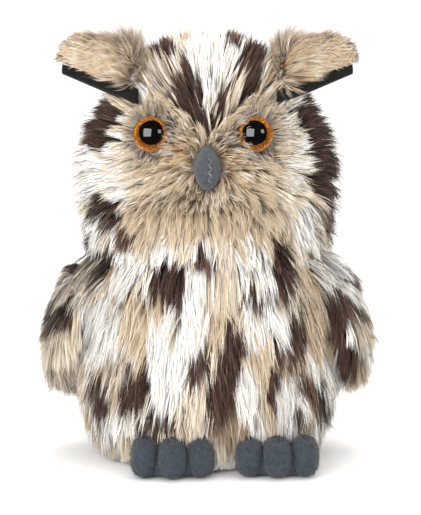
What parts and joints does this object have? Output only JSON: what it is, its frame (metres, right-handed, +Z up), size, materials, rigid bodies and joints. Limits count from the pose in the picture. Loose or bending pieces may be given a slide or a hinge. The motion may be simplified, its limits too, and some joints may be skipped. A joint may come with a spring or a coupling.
{
  "type": "interactive plush owl",
  "caption": "Standing plush eagle owl with a turning head, lifting wings and tail, and a squeeze-activated sound module.",
  "frame": {"origin": "middle of the owl's bounding box on the surface that it stands on", "axes": "+Z up, the owl faces -Y, +X to the owl's own left"},
  "size_m": [0.1502, 0.125, 0.2],
  "materials": {
    "fur_mottled": "matte",
    "fur_tan": "matte",
    "felt_black": "matte",
    "felt_grey": "matte",
    "fleece_grey": "matte",
    "lining_cloth": "matte",
    "base_cloth": "matte",
    "hook_and_loop": "matte",
    "fibre_fill": "matte",
    "pellet_plastic": "satin",
    "eye_clear": "gloss",
    "eye_amber": "gloss",
    "black_plastic": "gloss",
    "joint_plastic": "satin",
    "fibre_board": "matte",
    "case_plastic": "satin",
    "button_plastic": "gloss",
    "board_green": "satin",
    "chip_black": "satin",
    "steel": "satin",
    "speaker_metal": "satin",
    "speaker_paper": "matte",
    "wire_red_black": "satin"
  },
  "bodies": {
    "torso": {"body_skin": "fur_mottled", "body_stuffing": "fibre_fill", "base_panel": "base_cloth", "base_loop_strip": "hook_and_loop", "pellet_bag": "base_cloth", "pellets": "pellet_plastic", "foot_left_fleece": "fleece_grey", "foot_left_filling": "fibre_fill", "foot_right_fleece": "fleece_grey", "foot_right_filling": "fibre_fill", "neck_lower_disc": "joint_plastic", "neck_lower_washer": "fibre_board", "module_pouch": "base_cloth", "module_front_case": "case_plastic", "module_back_case": "case_plastic", "button_spring": "steel", "circuit_board": "board_green", "push_switch": "chip_black", "sound_chip": "chip_black", "speaker_basket": "speaker_metal", "speaker_cone": "speaker_paper", "button_cells": "steel", "cell_contacts": "steel", "battery_door": "case_plastic", "battery_door_screw": "steel", "case_screws": "steel", "speaker_leads": "wire_red_black", "battery_leads": "wire_red_black"},
    "head": {"head_skin": "fur_mottled", "face_panel": "fur_tan", "head_stuffing": "fibre_fill", "beak_felt": "felt_grey", "beak_filling": "fibre_fill", "neck_upper_disc": "joint_plastic", "neck_upper_washer": "fibre_board", "neck_lock_washer": "joint_plastic", "eye_left_lens": "eye_clear", "eye_left_iris": "eye_amber", "eye_left_pupil": "black_plastic", "eye_left_stem": "black_plastic", "eye_left_washer": "joint_plastic", "eye_right_lens": "eye_clear", "eye_right_iris": "eye_amber", "eye_right_pupil": "black_plastic", "eye_right_stem": "black_plastic", "eye_right_washer": "joint_plastic"},
    "ear_left": {"ear_left_fur": "fur_tan", "ear_left_felt": "felt_black"},
    "ear_right": {"ear_right_fur": "fur_tan", "ear_right_felt": "felt_black"},
    "wing_left": {"wing_left_fur": "fur_mottled", "wing_left_lining": "lining_cloth"},
    "wing_right": {"wing_right_fur": "fur_mottled", "wing_right_lining": "lining_cloth"},
    "tail": {"tail_fur": "fur_mottled", "tail_lining": "lining_cloth"},
    "button": {"squeeze_button": "button_plastic"},
    "flap": {"base_flap": "base_cloth", "flap_hook_strip": "hook_and_loop"}
  },
  "joints": [
    {"name": "head_turn", "type": "hinge", "parent": "torso", "child": "head", "pos_m": [0, 0, 0.097], "axis": [0, 0, 1], "continuous": true},
    {"name": "ear_left_tilt", "type": "hinge", "parent": "head", "child": "ear_left", "pos_m": [0.0405, -0.005, 0.179], "axis": [0, -1, 0], "range_deg": [-12, 12], "stiffness_Nm_per_rad": 0.05},
    {"name": "ear_right_tilt", "type": "hinge", "parent": "head", "child": "ear_right", "pos_m": [-0.0405, -0.005, 0.179], "axis": [0, 1, 0], "range_deg": [-12, 12], "stiffness_Nm_per_rad": 0.05},
    {"name": "wing_left_lift", "type": "hinge", "parent": "torso", "child": "wing_left", "pos_m": [0.055, 0, 0.093], "axis": [0, -1, 0], "range_deg": [0, 75]},
    {"name": "wing_right_lift", "type": "hinge", "parent": "torso", "child": "wing_right", "pos_m": [-0.055, 0, 0.093], "axis": [0, 1, 0], "range_deg": [0, 75]},
    {"name": "tail_lift", "type": "hinge", "parent": "torso", "child": "tail", "pos_m": [0, 0.0533, 0.052], "axis": [1, 0, 0], "range_deg": [0, 45]},
    {"name": "button_press", "type": "slide", "parent": "torso", "child": "button", "axis": [0, 1, 0], "range_m": [0, 0.002], "stiffness_N_per_m": 300, "springref_m": -0.002, "deforming": ["button_spring"]},
    {"name": "flap_open", "type": "hinge", "parent": "torso", "child": "flap", "pos_m": [0, 0.016, 0.0013], "axis": [1, 0, 0], "range_deg": [0, 100]}
  ]
}
